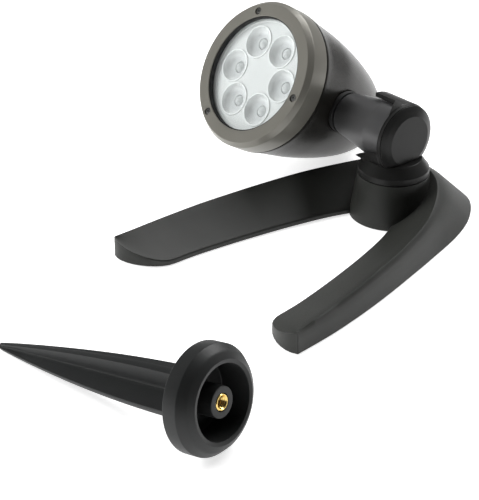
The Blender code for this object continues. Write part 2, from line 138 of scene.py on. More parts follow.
# Studio: the room's grey, from far behind the object at 0 to behind the camera at 1
WORLD_SHADES = ((0.0, 1.0), (0.45, 0.75), (0.8, 0.22), (1.0, 0.15))
WORLD_STRENGTH = 0.25
FLOOR_GLOW = 0.7        # keeps the contact shadows faint


# ---- Frames


def middle(node):
    low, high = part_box(node)
    return (Vector(low) + Vector(high)) / 2


def axis_frame(origin, z_axis, x_axis):
    z_axis = Vector(z_axis).normalized()
    x_axis = Vector(x_axis)
    x_axis = (x_axis - z_axis * x_axis.dot(z_axis)).normalized()
    turn = Matrix((x_axis, z_axis.cross(x_axis), z_axis)).transposed()
    return Matrix.Translation(origin) @ turn.to_4x4()


def find_frames():
    """The frames that the pieces are drawn in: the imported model's, and the stake's from how it lies."""
    joints = {joint["name"]: joint for joint in frame["joints"]}
    hinge_point = Vector(joints["tilt"]["pos_m"])
    hinge_axis = -Vector(joints["tilt"]["axis"]).normalized()
    lamp_axis = (middle("front_glass") - middle("led_board")).normalized()
    lamp_point = middle("front_glass") - lamp_axis * GLASS_MIDDLE * MM
    reach = math.hypot(RIM_RADIUS, RIM_BACK - STAKE_TIP)
    slope = math.atan2(RIM_RADIUS, RIM_BACK - STAKE_TIP) - math.asin(STAKE_TIP / reach)
    point = Vector((*STAKE_POINT, STAKE_TIP + STAKE_LIFT)) * MM
    side_point = hinge_point + (lamp_point - hinge_point).project(hinge_axis)
    stake = (Matrix.Translation(point) @ Matrix.Rotation(STAKE_HEADING, 4, "Z")
             @ Matrix.Rotation(math.pi / 2 - slope, 4, "Y") @ Matrix.Translation((0, 0, -STAKE_TIP * MM))
             @ Matrix.Rotation(STAKE_ROLL, 4, "Z"))
    return {
        "stand": Matrix.Identity(4),
        "pan": axis_frame((0, 0, 0), (0, 0, 1), hinge_axis),
        "hinge": axis_frame(hinge_point, hinge_axis, (0, 0, -1)),
        "lamp": axis_frame(lamp_point, lamp_axis, hinge_axis),
        "side": axis_frame(side_point, hinge_axis, -lamp_axis),
        "stake": stake,
    }


# ---- Materials


def new_material(name):
    material = bpy.data.materials.new(name)
    material.use_nodes = True
    tree = material.node_tree
    shader = tree.nodes["Principled BSDF"]
    place = tree.nodes.new("ShaderNodeTexCoord")
    return material, tree, shader, place


def noise(tree, place, scale, detail=4.0, roughness=0.55):
    """Noise in object space, with its scale in cycles per metre."""
    node = tree.nodes.new("ShaderNodeTexNoise")
    node.inputs["Scale"].default_value = scale
    node.inputs["Detail"].default_value = detail
    node.inputs["Roughness"].default_value = roughness
    tree.links.new(place.outputs["Object"], node.inputs["Vector"])
    return node


def ramp(tree, source, stops):
    node = tree.nodes.new("ShaderNodeValToRGB")
    elements = node.color_ramp.elements
    while len(elements) < len(stops):
        elements.new(0.5)
    for element, (position, colour) in zip(elements, stops):
        element.position = position
        element.color = (*colour, 1.0)
    tree.links.new(source, node.inputs["Fac"])
    return node


def spread(tree, source, low, high):
    node = tree.nodes.new("ShaderNodeMapRange")
    node.inputs["From Min"].default_value = 0.3
    node.inputs["From Max"].default_value = 0.7
    node.inputs["To Min"].default_value = low
    node.inputs["To Max"].default_value = high
    tree.links.new(source, node.inputs["Value"])
    return node


def bump(tree, shader, source, depth, strength=1.0):
    node = tree.nodes.new("ShaderNodeBump")
    node.inputs["Distance"].default_value = depth
    node.inputs["Strength"].default_value = strength
    tree.links.new(source, node.inputs["Height"])
    tree.links.new(node.outputs["Normal"], shader.inputs["Normal"])


def scaled(colour, factor):
    return tuple(min(1.0, channel * factor) for channel in colour)


def grained(name, colour, metallic, roughness, grain, depth, variation=0.12, specular=0.5, painted_glow=0.0):
    """Paint, rubber or plastic: a fine grain, slow changes of tone and an uneven gloss. A painted glow, when
    given, is an emission that brightens the part though it gives no light of its own.
    """
    material, tree, shader, place = new_material(name)
    slow = noise(tree, place, 45.0, 3.0)
    shades = ((0.3, scaled(colour, 1 - variation)), (0.7, scaled(colour, 1 + variation)))
    tone = ramp(tree, slow.outputs["Fac"], shades)
    tree.links.new(tone.outputs["Color"], shader.inputs["Base Color"])
    fine = noise(tree, place, grain, 3.0, 0.6)
    gloss = spread(tree, fine.outputs["Fac"], roughness - 0.05, roughness + 0.07)
    tree.links.new(gloss.outputs["Result"], shader.inputs["Roughness"])
    bump(tree, shader, fine.outputs["Fac"], depth)
    shader.inputs["Metallic"].default_value = metallic
    shader.inputs["Specular IOR Level"].default_value = specular
    shader.inputs["Emission Color"].default_value = (1.0, 1.0, 1.0, 1.0)
    shader.inputs["Emission Strength"].default_value = painted_glow
    return material


def turned_metal(name, colour, roughness, rings):
    """Turned or plated metal: fine circular tool marks about the local Z axis."""
    material, tree, shader, place = new_material(name)
    wave = tree.nodes.new("ShaderNodeTexWave")
    wave.wave_type = "RINGS"
    wave.rings_direction = "Z"
    wave.inputs["Scale"].default_value = rings
    wave.inputs["Distortion"].default_value = 1.5
    tree.links.new(place.outputs["Object"], wave.inputs["Vector"])
    slow = noise(tree, place, 300.0)
    tone = ramp(tree, slow.outputs["Fac"], ((0.3, scaled(colour, 0.85)), (0.7, scaled(colour, 1.1))))
    tree.links.new(tone.outputs["Color"], shader.inputs["Base Color"])
    gloss = spread(tree, wave.outputs["Fac"], roughness, roughness + 0.12)
    tree.links.new(gloss.outputs["Result"], shader.inputs["Roughness"])
    bump(tree, shader, wave.outputs["Fac"], 0.00002, 0.5)
    shader.inputs["Metallic"].default_value = 1.0
    return material


def pane(name):
    """A clear flat pane: it lets the light straight through and mirrors a little of it."""
    material, tree, shader, place = new_material(name)
    shader.inputs["Base Color"].default_value = (0.95, 0.97, 0.97, 1.0)
    shader.inputs["Specular IOR Level"].default_value = 0.5
    film = noise(tree, place, 60.0)
    gloss = spread(tree, film.outputs["Fac"], 0.02, 0.05)
    tree.links.new(gloss.outputs["Result"], shader.inputs["Roughness"])
    clear = tree.nodes.new("ShaderNodeBsdfTransparent")
    clear.inputs["Color"].default_value = (0.98, 0.99, 0.99, 1.0)
    mix = tree.nodes.new("ShaderNodeMixShader")
    mix.inputs[0].default_value = 0.03
    tree.links.new(clear.outputs["BSDF"], mix.inputs[1])
    tree.links.new(shader.outputs["BSDF"], mix.inputs[2])
    tree.links.new(mix.outputs["Shader"], tree.nodes["Material Output"].inputs["Surface"])
    return material


def optic(name, centre, edge, radius, roughness):
    """Moulded optic: its tone changes with the distance from the piece's own axis, a painted shade in the
    middle and a painted highlight towards the rim, with a faint painted glow.
    """
    material, tree, shader, place = new_material(name)
    split = tree.nodes.new("ShaderNodeSeparateXYZ")
    tree.links.new(place.outputs["Object"], split.inputs["Vector"])
    flat = tree.nodes.new("ShaderNodeCombineXYZ")
    tree.links.new(split.outputs["X"], flat.inputs["X"])
    tree.links.new(split.outputs["Y"], flat.inputs["Y"])
    length = tree.nodes.new("ShaderNodeVectorMath")
    length.operation = "LENGTH"
    tree.links.new(flat.outputs["Vector"], length.inputs[0])
    share = tree.nodes.new("ShaderNodeMath")
    share.operation = "DIVIDE"
    share.inputs[1].default_value = radius * MM
    tree.links.new(length.outputs["Value"], share.inputs[0])
    # Painted shade and painted highlight: grey in the middle, white towards the rim.
    tone = ramp(tree, share.outputs["Value"], ((0.15, centre), (0.55, scaled(centre, 1.12)), (0.95, edge)))
    tree.links.new(tone.outputs["Color"], shader.inputs["Base Color"])
    fine = noise(tree, place, 900.0)
    gloss = spread(tree, fine.outputs["Fac"], roughness, roughness + 0.08)
    tree.links.new(gloss.outputs["Result"], shader.inputs["Roughness"])
    bump(tree, shader, fine.outputs["Fac"], 0.00002)
    shader.inputs["Coat Weight"].default_value = 0.5
    shader.inputs["Coat Roughness"].default_value = 0.03
    # A faint painted glow, though the lamp is not lit.
    shader.inputs["Emission Color"].default_value = (1.0, 1.0, 1.0, 1.0)
    shader.inputs["Emission Strength"].default_value = 0.05
    return material


def make_materials():
    return {
        # The bezel wears the housing's dark bronze paint. This copy is about ten times lighter, a painted
        # sheen standing in for the bright room mirrored in its face.
        "painted_sheen_bronze": grained("pewter_paint", (0.225, 0.217, 0.190), 0.3, 0.34, 5200.0, 0.000012, 0.04),
        "bronze": grained("bronze_paint", (0.023, 0.0215, 0.019), 0.2, 0.28, 4200.0, 0.000008, 0.06, 0.2),
        "charcoal": grained("charcoal_paint", (0.024, 0.025, 0.0225), 0.0, 0.50, 3600.0, 0.00003, 0.10, 0.36),
        "knuckle": grained("knuckle_paint", (0.017, 0.017, 0.0165), 0.0, 0.36, 3800.0, 0.00001, 0.06, 0.2),
        "arm": grained("arm_paint", (0.075, 0.075, 0.076), 0.2, 0.36, 3800.0, 0.00001, 0.06),
        "plastic": grained("stake_plastic", (0.021, 0.022, 0.022), 0.0, 0.44, 2600.0, 0.00003, 0.10, 0.3),
        "gland": grained("gland_plastic", (0.02, 0.02, 0.02), 0.0, 0.4, 3000.0, 0.00003),
        "rubber": grained("black_rubber", (0.012, 0.012, 0.012), 0.0, 0.75, 2200.0, 0.00006),
        "resin": grained("capacitor_sleeve", (0.02, 0.022, 0.03), 0.0, 0.35, 1500.0, 0.00003),
        "board": grained("solder_mask", (0.02, 0.13, 0.06), 0.0, 0.35, 1800.0, 0.00002, 0.2),
        "phosphor": grained("led_phosphor", (0.85, 0.7, 0.2), 0.0, 0.5, 4000.0, 0.00002),
        "cast": grained("bare_aluminium", (0.6, 0.61, 0.62), 1.0, 0.4, 2500.0, 0.00004),
        "steel": turned_metal("plated_steel", (0.5, 0.5, 0.49), 0.25, 900.0),
        "brass": turned_metal("turned_brass", (0.83, 0.60, 0.20), 0.18, 700.0),
        "glass": pane("clear_pane"),
        # The tray's glow is painted light: it brightens the white tray though the lamp is not lit.
        "tray": grained("white_tray_painted_glow", (0.76, 0.77, 0.76), 0.0, 0.3, 1500.0, 0.00002, 0.02, painted_glow=0.05),
        # The lens's grey middle and white rim are painted shade and painted highlight, with a faint painted
        # glow.
        "lens": optic("moulded_lens", (0.62, 0.63, 0.63), (0.92, 0.93, 0.92), LENS_RADIUS, 0.12),
    }


# ---- Mesh making


def place_piece(name, bm, where, body, material, replaces=(), own_axes=False):
    """A piece with its own axes keeps them for its material. The others have their mesh in the shared frame.
    """
    bmesh.ops.scale(bm, vec=(MM, MM, MM), verts=bm.verts)
    if not own_axes:
        bmesh.ops.transform(bm, matrix=where, verts=bm.verts)
    bmesh.ops.recalc_face_normals(bm, faces=bm.faces)
    mesh = bpy.data.meshes.new(name)
    bm.to_mesh(mesh)
    bm.free()
    piece = bpy.data.objects.new(name, mesh)
    bpy.context.scene.collection.objects.link(piece)
    if own_axes:
        piece.matrix_world = where
    if material:
        mesh.materials.append(material)
        mark_sharp(mesh)
        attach(piece, body)
    if replaces:
        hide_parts(*replaces)
    return piece


def mark_sharp(mesh):
    """Smooths the surface, and keeps the edges where it turns by more than SHARP."""
    bm = bmesh.new()
    bm.from_mesh(mesh)
    for face in bm.faces:
        face.smooth = True
    for edge in bm.edges:
        edge.smooth = len(edge.link_faces) == 2 and edge.calc_face_angle(0.0) < SHARP
    bm.to_mesh(mesh)
    bm.free()


def carve(piece, bm, where, operation="DIFFERENCE"):
    """Cuts a shape out of a piece, or joins it on, and keeps only the result."""
    tool = place_piece(piece.name + "_tool", bm, where, None, None)
    modifier = piece.modifiers.new("tool", "BOOLEAN")
    modifier.operation = operation
    modifier.solver = "MANIFOLD"
    modifier.object = tool
    bpy.context.view_layer.update()
    graph = bpy.context.evaluated_depsgraph_get()
    result = bpy.data.meshes.new_from_object(piece.evaluated_get(graph))
    piece.modifiers.clear()
    old, tool_mesh = piece.data, tool.data
    piece.data = result
    bpy.data.objects.remove(tool)
    bpy.data.meshes.remove(old)
    bpy.data.meshes.remove(tool_mesh)
    result.name = piece.name
    mark_sharp(result)


def spline(points, t):
    """A smooth curve through the points, with t from 0 at the first to 1 at the last."""
    position = min(max(t, 0.0), 1.0) * (len(points) - 1)
    index = min(int(position), len(points) - 2)
    part = position - index
    near, far = Vector(points[index]), Vector(points[index + 1])
    before = Vector(points[index - 1]) if index > 0 else near * 2 - far
    after = Vector(points[index + 2]) if index + 2 < len(points) else far * 2 - near
    leave, arrive = (far - before) / 2, (after - near) / 2
    return (near * (1 + 2 * part) * (1 - part) ** 2 + leave * part * (1 - part) ** 2
            + far * part ** 2 * (3 - 2 * part) + arrive * part ** 2 * (part - 1))


def rounded(points, steps=5):
    """Rounds the corners of an outline. A corner with a third value is rounded to that radius."""
    result = []
    count = len(points)
    for i, point in enumerate(points):
        radius = point[2] if len(point) > 2 else 0.0
        here = Vector(point[:2])
        if radius == 0.0:
            result.append(tuple(here))
            continue
        back = (Vector(points[i - 1][:2]) - here).normalized()
        ahead = (Vector(points[(i + 1) % count][:2]) - here).normalized()
        half = back.angle(ahead) / 2
        start, end = here + back * (radius / math.tan(half)), here + ahead * (radius / math.tan(half))
        centre = here + (back + ahead).normalized() * (radius / math.sin(half))
        for k in range(steps + 1):
            spoke = start.lerp(end, k / steps) - centre
            result.append(tuple(centre + spoke.normalized() * radius))
    return result


def revolve(outline, sides=METAL_SIDES):
    """Turns an outline of (radius, height) points about Z. Where it ends on the axis it stays open there."""
    bm = bmesh.new()
    verts = [bm.verts.new((radius, 0, height)) for radius, height in outline]
    edges = [bm.edges.new(pair) for pair in zip(verts, verts[1:])]
    if outline[0][0] > 0 or outline[-1][0] > 0:
        edges.append(bm.edges.new((verts[-1], verts[0])))
    bmesh.ops.spin(bm, geom=verts + edges, cent=(0, 0, 0), axis=(0, 0, 1), angle=math.tau, steps=sides,
                   use_merge=True)
    bmesh.ops.remove_doubles(bm, verts=bm.verts, dist=0.0005)
    return bm


def ring(inner, outer, low, high, edge=0.0, sides=SMALL_SIDES):
    corners = ((inner, low, edge), (outer, low, edge), (outer, high, edge), (inner, high, edge))
    return revolve(rounded(corners, 3), sides)


def disc(radius, low, high, sides=SMALL_SIDES):
    return revolve(((0, low), (radius, low), (radius, high), (0, high)), sides)


def block(size, centre=(0, 0, 0)):
    bm = bmesh.new()
    bmesh.ops.create_cube(bm, size=1.0, matrix=Matrix.Translation(centre) @ Matrix.Diagonal((*size, 1.0)))
    return bm


def extrude_outline(points, low, high):
    bm = bmesh.new()
    face = bm.faces.new([bm.verts.new((x, y, low)) for x, y in points])
    top = bmesh.ops.extrude_face_region(bm, geom=[face])["geom"]
    verts = [v for v in top if isinstance(v, bmesh.types.BMVert)]
    bmesh.ops.translate(bm, vec=(0, 0, high - low), verts=verts)
    return bm


def polygon(sides, radius):
    angles = [math.tau * i / sides for i in range(sides)]
    return [(radius * math.cos(a), radius * math.sin(a)) for a in angles]


def clipped_circle(radius, limit, points=90):
    """A circle without the part beyond x = limit."""
    start = math.acos(limit / radius)
    angles = [start + (math.tau - 2 * start) * i / points for i in range(points + 1)]
    return [(radius * math.cos(a), radius * math.sin(a)) for a in angles]


def loft(sections, cap_start=True, cap_end=True):
    """Bridges closed sections that all have the same number of points."""
    bm = bmesh.new()
    rows = [[bm.verts.new(point) for point in section] for section in sections]
    count = len(rows[0])
    for low, high in zip(rows, rows[1:]):
        for i in range(count):
            bm.faces.new((low[i], low[(i + 1) % count], high[(i + 1) % count], high[i]))
    if cap_start:
        bm.faces.new(rows[0])
    if cap_end:
        bm.faces.new(rows[-1])
    return bm


def polar(radius, degrees, height=0.0):
    angle = math.radians(degrees)
    return Vector((radius * math.cos(angle), radius * math.sin(angle), height)) * MM


# ---- Stand


def inner_edge(t):
    """The leg's inner edge. Its first span is the rounded end, which slopes with the top of the leg."""
    spans = len(INNER_EDGE) - 1
    part = t * spans
    if part >= 1.0:
        place = spline(INNER_EDGE[1:], (part - 1) / (spans - 1))
        return Vector((place.x, place.y, INNER_HEIGHT))
    points = [Vector(p) for p in (INNER_EDGE[0], *TIP_HANDLES, INNER_EDGE[1])]
    weights = ((1 - part) ** 3, 3 * part * (1 - part) ** 2, 3 * part ** 2 * (1 - part), part ** 3)
    place = sum((point * weight for point, weight in zip(points, weights)), Vector((0, 0)))
    share = (place.x - INNER_EDGE[1][0]) / (RIDGE[0][0] - INNER_EDGE[1][0])
    return Vector((place.x, place.y, INNER_HEIGHT + (RIDGE[0][2] - 0.4 - INNER_HEIGHT) * min(share, 1.0)))


def leg_section(t):
    """One closed section across a leg: outer wall, rounded ridge, sloping top, inner wall."""
    outer = spline(OUTER_EDGE, t).to_3d()
    outer.z = STAND_FOOT
    ridge = spline(RIDGE, t)
    inner = inner_edge(t)
    foot = Vector((inner.x, inner.y, STAND_FOOT))
    crown = outer.lerp(ridge, 0.8) + (outer - foot).normalized() * (ridge - outer).length * 0.05
    wall = [outer, outer.lerp(crown, 0.33), outer.lerp(crown, 0.67), crown]
    soft = 0.06 * (1 - t)
    crest = [ridge.lerp(crown, 0.25), ridge.lerp(crown, 0.06).lerp(ridge.lerp(inner, 0.03), 0.4),
             ridge.lerp(inner, 0.03 + soft * 0.3)]
    top = [ridge.lerp(inner, share) + Vector((0, 0, -0.35 * math.sin(share * math.pi)))
           for share in (0.2, 0.4, 0.6, 0.8, 0.93)]
    lip = inner + Vector((0, 0, -0.5))
    return [tuple(v) for v in (*wall, *crest, *top, inner.lerp(ridge, 0.02), lip, foot)]


def mirrored_legs():
    steps = (len(OUTER_EDGE) - 1) * LEG_STEPS
    bm = loft([leg_section(i / steps) for i in range(steps + 1)], cap_end=False)
    other = bmesh.ops.duplicate(bm, geom=bm.verts[:] + bm.edges[:] + bm.faces[:])["geom"]
    verts = [v for v in other if isinstance(v, bmesh.types.BMVert)]
    bmesh.ops.scale(bm, vec=(-1, 1, 1), verts=verts)
    bmesh.ops.reverse_faces(bm, faces=[f for f in other if isinstance(f, bmesh.types.BMFace)])
    bmesh.ops.remove_doubles(bm, verts=bm.verts, dist=0.0005)
    return bm


def build_stand(frames, materials):
    stand = place_piece("stand_casting", mirrored_legs(), frames["stand"], "stand", materials["charcoal"],
                        ["base_stand"])
    post = rounded(((0, STAND_FOOT), (POST_FOOT_RADIUS, STAND_FOOT), (POST_TOP_RADIUS, POST_HEIGHT, 0.4),
                    (0, POST_HEIGHT)))
    carve(stand, revolve(post), frames["stand"], "UNION")
    bore = ((0, -1), (10.0, -1), (10.0, 12.0), (4.4, 12.0), (4.4, 27.0), (0, 27.0))
    carve(stand, revolve(bore, SMALL_SIDES), frames["stand"])


# ---- Yoke, cap and arm


def cut_yoke_window(yoke, pan):
    """The opening in front of the arm: its right edge slants back to the top, its lower edge to the left."""
    left, right = BARREL_START - 1, PLATE_START - 0.3
    plan = ((left, 0.0), (-1.0, 0.0), (right, -11.0), (right, -25.0), (left, -25.0))
    carve(yoke, extrude_outline(plan, 43.7, 75.0), pan)
    front = ((left, 44.1), (left, 33.0), (-5.0, 40.0), (right, 43.4), (right, 44.1))
    carve(yoke, extrude_outline(front, 9.0, 25.0), pan @ Matrix.Rotation(math.pi / 2, 4, "X"))


def build_yoke(frames, materials):
    pan, hinge = frames["pan"], frames["hinge"]
    collar = rounded(((0, COLLAR_FOOT), (19.0, COLLAR_FOOT), (19.0, COLLAR_LIP),
                      (POST_TOP_RADIUS, COLLAR_LIP, 0.2), (19.5, 29.0, 1.0), (15.2, COLLAR_TOP, 0.5),
                      (0, COLLAR_TOP)))
    yoke = place_piece("yoke_casting", revolve(collar), pan, "yoke", materials["knuckle"],
                       ["swivel_yoke"])
    barrel = rounded(((0, BARREL_START), (BARREL_RADIUS, BARREL_START, 0.5), (BARREL_RADIUS, 5.2, 0.3),
                      (PLATE_RADIUS, PLATE_START), (PLATE_RADIUS, PLATE_END, 0.2), (0, PLATE_END)))
    carve(yoke, revolve(barrel), hinge, "UNION")
    bore = rounded(((0, BARREL_START - 8), (BARREL_BORE, BARREL_START - 8), (BARREL_BORE, PLATE_START, 0.5),
                    (0, PLATE_START)))
    carve(yoke, revolve(bore), hinge)
    cut_yoke_window(yoke, pan)
    boss = ((0, BOSS_START), (BOSS_RADIUS, BOSS_START), (BOSS_RADIUS, PLATE_END - 0.4), (0, PLATE_END - 0.4))
    carve(yoke, revolve(boss), hinge, "UNION")
    hole = ((0, BOSS_START - 1), (4.4, BOSS_START - 1), (4.4, 2.0), (9.2, 2.0), (9.2, PLATE_END + 1),
            (0, PLATE_END + 1))
    carve(yoke, revolve(hole), hinge)
    seat = extrude_outline(clipped_circle(CAP_RADIUS + 0.6, CAP_FLAT), PLATE_END, CAP_FACE + 0.4)
    carve(yoke, seat, hinge)
    carve(yoke, disc(7.3, COLLAR_FOOT - 1, 29.6), pan)


def build_cap(frames, materials):
    start = PLATE_END + 0.3
    shell = rounded(((7.2, start - 2.8), (8.9, start - 2.8), (8.9, start), (CAP_RADIUS, start, 0.2),
                     (CAP_RADIUS, 8.3, 0.3), (16.6, 9.7, 6.0), (13.6, CAP_FACE, 0.4), (0, CAP_FACE),
                     (0, start), (7.2, start)))
    cap = place_piece("hinge_cover", revolve(shell), frames["hinge"], "yoke", materials["knuckle"],
                      ["hinge_cap"])
    carve(cap, block((20.0, 50.0, 30.0), (CAP_FLAT + 9.95, 0, 10.0)), frames["hinge"])


def build_arm(frames, materials):
    floor = BOSS_START - 1.1
    outline = rounded(((4.9, -47.4, 0.3), (7.0, -47.4, 0.4), (7.0, -37.4), (10.6, -37.4, 0.3),
                       (11.9, -36.2, 0.3), (ARM_RADIUS, -8.5, 8.0), (ARM_RADIUS, ARM_END - 1.2, 2.0),
                       (ARM_RADIUS - 1.0, ARM_END, 0.3),
                       (BOSS_RADIUS + 0.4, ARM_END), (BOSS_RADIUS + 0.4, floor), (6.8, floor),
                       (6.8, floor - 11.5), (4.9, floor - 11.5)))
    place_piece("arm_casting", revolve(outline), frames["hinge"], "lamp", materials["arm"],
                ["tilt_arm"])
    place_piece("arm_seal", ring(7.3, 12.0, -40.6, -37.7, 0.5, METAL_SIDES), frames["hinge"], "lamp",
                materials["rubber"], ["arm_gasket"])


# ---- Lamp


def build_housing(frames, materials):
    samples = 48
    skin = [tuple(spline(HOUSING_SKIN, i / samples)) for i in range(samples + 1)]
    inside = [(radius - WALL, height) for radius, height in skin[4:-6]]
    rear = HOUSING_SKIN[-1][1]
    outline = ([(0, rear)] + skin[::-1] + [(42.0, SEAM - 0.35), (41.6, SEAM), (38.2, SEAM), (38.2, 33.0),
               (31.5, 33.0), (31.5, 21.0), (38.0, 18.0)] + inside + [(0, rear + 4.5)])
    housing = place_piece("housing_shell", revolve(outline), frames["lamp"], "lamp", materials["bronze"],
                          ["housing"])
    side = frames["side"]
    carve(housing, disc(SIDE_BOSS, 34.7, 38.1, METAL_SIDES), side, "UNION")
    through = ((0, 28.0), (10.2, 28.0), (10.2, 34.4), (7.4, 34.4), (7.4, 38.1), (SIDE_BORE, 38.1),
               (SIDE_BORE, 46.0), (0, 46.0))
    carve(housing, revolve(through), side)
    carve(housing, disc(5.3, rear - 2, rear + 8), frames["lamp"])


def build_bezel(frames, materials):
    lip = FACE - LIP_THICKNESS
    outline = rounded(((WINDOW_RADIUS, FACE, 0.35), (FACE_RADIUS, FACE, 0.3), (BEZEL_RADIUS, FACE - 3.0, 0.7),
                       (BEZEL_RADIUS, SEAM + 0.3, 0.35), (38.6, SEAM + 0.3), (38.6, 33.4), (34.3, 33.4),
                       (34.3, lip), (WINDOW_RADIUS, lip)))
    # The bezel's paint is the housing's bronze made lighter, a painted sheen.
    bezel = place_piece("bezel_cap", revolve(outline, 160), frames["lamp"], "lamp", materials["painted_sheen_bronze"],
                        ["bezel_ring"])
    well = rounded(((0, 32.0), (1.5, 32.0), (1.5, FACE - 3.6), (2.1, FACE - 3.6), (2.1, FACE - 0.25),
                    (2.5, FACE + 0.15), (2.5, FACE + 1), (0, FACE + 1)))
    for index, degrees in enumerate(SCREW_ANGLES):
        where = frames["lamp"] @ Matrix.Translation(polar(SCREW_PITCH, degrees))
        carve(bezel, revolve(well, 32), where)
        screw = rounded(((0, 26.0), (1.2, 26.0), (1.2, FACE - 3.3), (1.75, FACE - 3.3),
                         (1.75, FACE - 0.5, 0.3), (0, FACE - 0.5)), 3)
        name = f"cover_screw_{index + 1}"
        piece = place_piece(name, revolve(screw, 32), where, "lamp", materials["steel"],
                            [f"bezel_screw_{index + 1}"], own_axes=True)
        carve(piece, extrude_outline(polygon(6, 0.8), FACE - 1.6, FACE), where)


def lens_outline():
    """A moulded lens seen from the front: rim, a bowl down to the light, and a small dome in the middle."""
    bowl = [(3.4 + (LENS_RADIUS - 0.8 - 3.4) * math.sin(a), LENS_TOP - 0.1 - 4.4 * math.cos(a))
            for a in (math.radians(90 - 9 * k) for k in range(11))]
    dome = [(3.2 * math.sin(a), LENS_TOP - 6.0 + 3.0 * math.cos(a))
            for a in (math.radians(90 - 15 * k) for k in range(7))]
    outside = [(0, 26.0), (3.6, 26.0), (LENS_RADIUS, 34.0), (LENS_RADIUS, LENS_TOP - 0.15),
               (LENS_RADIUS - 0.2, LENS_TOP), (LENS_RADIUS - 0.6, LENS_TOP)]
    return outside + bowl + dome[:-1] + [(0, LENS_TOP - 3.0)]


def build_optics(frames, materials):
    lamp = frames["lamp"]
    glass = rounded(((0, LENS_TOP + 0.2), (TRAY_RADIUS, LENS_TOP + 0.2), (TRAY_RADIUS, PANE_FRONT, 0.2),
                     (0, PANE_FRONT)), 2)
    place_piece("window_pane", revolve(glass), lamp, "lamp", materials["glass"], ["front_glass"])
    seal = ring(TRAY_RADIUS + 0.05, 34.2, 33.5, PANE_FRONT + 0.1, 0.1, METAL_SIDES)
    place_piece("pane_seal", seal, lamp, "lamp", materials["rubber"], ["glass_gasket"])
    # A black rubber sleeve lines the bezel's inner wall and keeps that wall dark.
    sleeve = ring(WINDOW_RADIUS - 0.6, WINDOW_RADIUS + 0.1, PANE_FRONT, FACE - 0.5, 0.1, METAL_SIDES)
    place_piece("bezel_wall_black_sleeve", sleeve, lamp, "lamp", materials["rubber"], ["glass_gasket"])
    tray = rounded(((0, TRAY_BASE), (TRAY_RADIUS, TRAY_BASE), (TRAY_RADIUS, LENS_TOP), (31.6, LENS_TOP, 0.3),
                    (30.9, LENS_TOP - 0.6, 0.3), (0, LENS_TOP - 0.6)), 3)
    plate = place_piece("lens_tray", revolve(tray), lamp, "lamp", materials["tray"], ["optic_plate"])
    for index, degrees in enumerate(LENS_ANGLES):
        where = lamp @ Matrix.Translation(polar(LENS_PITCH, degrees))
        carve(plate, disc(LENS_RADIUS + 0.1, 32.0, 37.0, METAL_SIDES // 2), where)
        place_piece(f"moulded_lens_{index + 1}", revolve(lens_outline(), METAL_SIDES // 2), where, "lamp",
                    materials["lens"], [f"optic_lens_{index + 1}"], own_axes=True)


def build_gland(frames, materials):
    rear = HOUSING_SKIN[-1][1]
    body = rounded(((CABLE_BORE, rear - 8.0, 0.4), (5.6, rear - 8.0, 1.2), (6.7, rear - 4.6, 0.6),
                    (6.7, rear - 3.9), (5.0, rear - 3.9), (5.0, rear + 8.5), (CABLE_BORE, rear + 8.5)))
    gland = place_piece("gland_body", revolve(body, SMALL_SIDES), frames["lamp"], "lamp", materials["gland"],
                        ["cable_gland"])
    carve(gland, extrude_outline(polygon(6, 7.6), rear - 4.2, rear - 0.3), frames["lamp"], "UNION")
    carve(gland, disc(CABLE_BORE, rear - 9, rear + 9, 32), frames["lamp"])


# ---- Ground stake


def stake_section(height, top):
    """A cross of four ribs with a rounded edge and a hollow between each two."""
    fraction = height / top
    reach = STAKE_TIP + (STAKE_ROOT - STAKE_TIP) * math.sin(fraction * math.pi / 2) ** 0.9
    width = min(RIB_HALF_WIDTH * (0.45 + 0.55 * fraction), reach * 0.7)
    core = width * 1.35
    soft = min(0.5, width * 0.4)
    points = []
    for quarter in range(4):
        turn = Matrix.Rotation(quarter * math.pi / 2, 3, "Z")
        rib = [(reach - soft, -width), (reach - soft * 0.3, -width + soft * 0.3), (reach, -width + soft),
               (reach, width - soft), (reach - soft * 0.3, width - soft * 0.3), (reach - soft, width)]
        root = core + (reach - core) * 0.12
        hollow = [(root + 0.15 * width, width * 1.02), (core * 1.02, core * 0.96), (core * 0.96, core * 1.02),
                  (width * 1.02, root + 0.15 * width)]
        points += [tuple(turn @ Vector((x, y, height))) for x, y in rib + hollow]
    return points


def build_stake(frames, materials):
    steps = 40
    top = CUP_FLOOR - 2.5
    heights = [top * (i / steps) ** 1.2 for i in range(steps + 1)]
    ribs = loft([stake_section(h, top) for h in heights])
    stake = place_piece("stake_moulding", ribs, frames["stake"], "stake", materials["plastic"],
                        ["ground_stake"])
    flange = rounded(((0, CUP_FLOOR - 4.0), (14.5, CUP_FLOOR - 4.0, 1.0), (18.5, RIM_BACK - 1.0, 1.5),
                      (23.2, RIM_BACK - 0.6, 0.5), (RIM_RADIUS, RIM_BACK + 0.4, 0.5),
                      (RIM_RADIUS, STAKE_LENGTH - 5.6, 0.8), (21.8, STAKE_LENGTH - 2.0, 4.0),
                      (18.6, STAKE_LENGTH, 0.5), (MOUTH_RADIUS, STAKE_LENGTH - 0.4, 0.3),
                      (16.6, CUP_FLOOR, 0.6), (7.2, CUP_FLOOR, 0.5), (7.0, BOSS_TOP, 0.4),
                      (4.0, BOSS_TOP, 0.2), (4.0, CUP_FLOOR), (0, CUP_FLOOR)))
    carve(stake, revolve(flange), frames["stake"], "UNION")


def build_insert(frames, materials):
    """The brass insert, with the crests of its thread as rings down the bore."""
    pitch = 1.0
    low, high = CUP_FLOOR + 0.3, BOSS_TOP + 0.15
    turns = int((high - low - 1.2) / pitch)
    thread = []
    for k in range(turns):
        start = high - 0.7 - k * pitch
        thread += [(2.55, start), (2.95, start - pitch * 0.5)]
    outline = [(2.6, low), (3.7, low), (3.7, high - 0.3), (3.4, high), (3.1, high)] + thread
    place_piece("threaded_insert", revolve(outline, SMALL_SIDES), frames["stake"], "stake",
                materials["brass"], ["stake_insert"], own_axes=True)


# ---- CAD parts that stay


